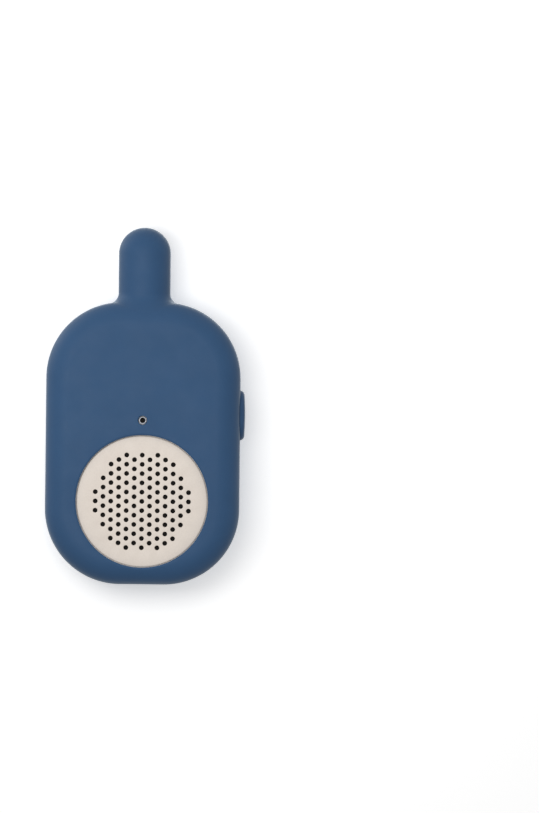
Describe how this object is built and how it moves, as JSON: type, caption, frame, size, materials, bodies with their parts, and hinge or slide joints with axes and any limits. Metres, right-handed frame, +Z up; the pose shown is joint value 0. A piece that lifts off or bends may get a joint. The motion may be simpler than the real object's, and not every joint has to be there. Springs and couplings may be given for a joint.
{
  "type": "toy walkie talkie",
  "caption": "Child's handset with a rounded body, a stub antenna, a round speaker grille, a side talk key and a soft silicone cover over a two-shell casing",
  "frame": {"origin": "middle of the flat base that the handset stands on", "axes": "+Z runs up the handset to the antenna's tip, -Y is the front with the speaker, +X is to the right seen from the front, where the talk key is"},
  "size_m": [0.0753, 0.03, 0.135],
  "materials": {
    "silicone_blue": "soft matte moulded silicone, dusty blue",
    "silicone_key": "soft matte moulded silicone, dusty blue",
    "casing_cream": "fine moulded texture, warm cream",
    "grille_cream": "satin moulded plastic, warm cream",
    "bezel_white": "polished pale plastic",
    "speaker_mesh": "black woven acoustic mesh",
    "foam_black": "closed-cell foam",
    "rubber_black": "smooth moulded rubber",
    "cone_paper": "pressed black paper pulp",
    "ferrite": "sintered dark grey ferrite",
    "plated_steel": "bright zinc or nickel plating",
    "screw_steel": "nickel-plated steel",
    "aluminium_can": "drawn aluminium",
    "copper": "enamelled copper wire",
    "contact_brass": "turned brass",
    "plastic_black": "black moulded plastic",
    "chip_black": "moulded epoxy with tinned legs",
    "terminal_board": "brown fibre board",
    "circuit_board": "green solder mask",
    "capacitor_sleeve": "dark blue shrink sleeve",
    "ceramic_parts": "small ceramic chips with tinned ends",
    "former_white": "natural nylon",
    "cell_wrap": "plain shrink wrap over a steel can",
    "lead_red": "PVC wire insulation",
    "lead_black": "PVC wire insulation"
  },
  "bodies": {
    "handset": {"silicone_cover": "silicone_blue", "front_casing": "casing_cream", "rear_casing": "casing_cream", "casing_screws": "screw_steel", "speaker_grille": "grille_cream", "speaker_cloth": "speaker_mesh", "speaker_gasket": "foam_black", "speaker_frame": "plated_steel", "speaker_top_plate": "plated_steel", "speaker_magnet": "ferrite", "speaker_yoke": "plated_steel", "speaker_surround": "rubber_black", "speaker_terminals": "terminal_board", "speaker_retainer": "plastic_black", "retainer_screws": "screw_steel", "mic_bezel": "bezel_white", "mic_cloth": "speaker_mesh", "mic_boot": "rubber_black", "mic_capsule": "aluminium_can", "talk_switch": "plastic_black", "power_switch": "plastic_black", "power_board": "circuit_board", "battery_left": "cell_wrap", "battery_middle": "cell_wrap", "battery_right": "cell_wrap", "battery_springs": "plated_steel", "battery_contacts": "plated_steel", "door_screw_insert": "contact_brass", "main_board": "circuit_board", "board_screws": "screw_steel", "radio_chip": "chip_black", "audio_chip": "chip_black", "shield_can": "plated_steel", "crystal_can": "plated_steel", "capacitors": "capacitor_sleeve", "tuning_coil": "aluminium_can", "board_passives": "ceramic_parts", "antenna_base": "plastic_black", "antenna_former": "former_white", "antenna_coil": "copper", "antenna_lead": "copper", "speaker_leads": "lead_red", "battery_leads": "lead_red", "power_leads": "lead_black"},
    "talk": {"talk_key": "silicone_key", "talk_plunger": "casing_cream", "talk_switch_button": "contact_brass"},
    "power": {"power_key": "silicone_key", "power_plunger": "casing_cream", "power_switch_button": "contact_brass"},
    "cone": {"speaker_cone": "cone_paper", "speaker_dust_cap": "cone_paper", "voice_coil": "copper"},
    "door": {"battery_door": "casing_cream"},
    "door_screw": {"battery_door_screw": "screw_steel"}
  },
  "joints": [
    {"name": "talk_press", "type": "slide", "parent": "handset", "child": "talk", "axis": [-1, 0, 0], "range_m": [0, 0.0006], "stiffness_N_per_m": 300, "springref_m": -0.003},
    {"name": "power_press", "type": "slide", "parent": "handset", "child": "power", "axis": [0, 0, 1], "range_m": [0, 0.0004], "stiffness_N_per_m": 200, "springref_m": -0.003},
    {"name": "cone_stroke", "type": "slide", "parent": "handset", "child": "cone", "axis": [0, -1, 0], "range_m": [-0.0003, 0.0003], "stiffness_N_per_m": 150},
    {"name": "door_hinge", "type": "hinge", "parent": "handset", "child": "door", "pos_m": [0, 0.01292, 0.0271], "axis": [-1, 0, 0], "range_deg": [0, 60]},
    {"name": "door_screw_turn", "type": "hinge", "parent": "door", "child": "door_screw", "pos_m": [0, 0.0117, 0.0819], "axis": [0, 1, 0], "continuous": true}
  ]
}
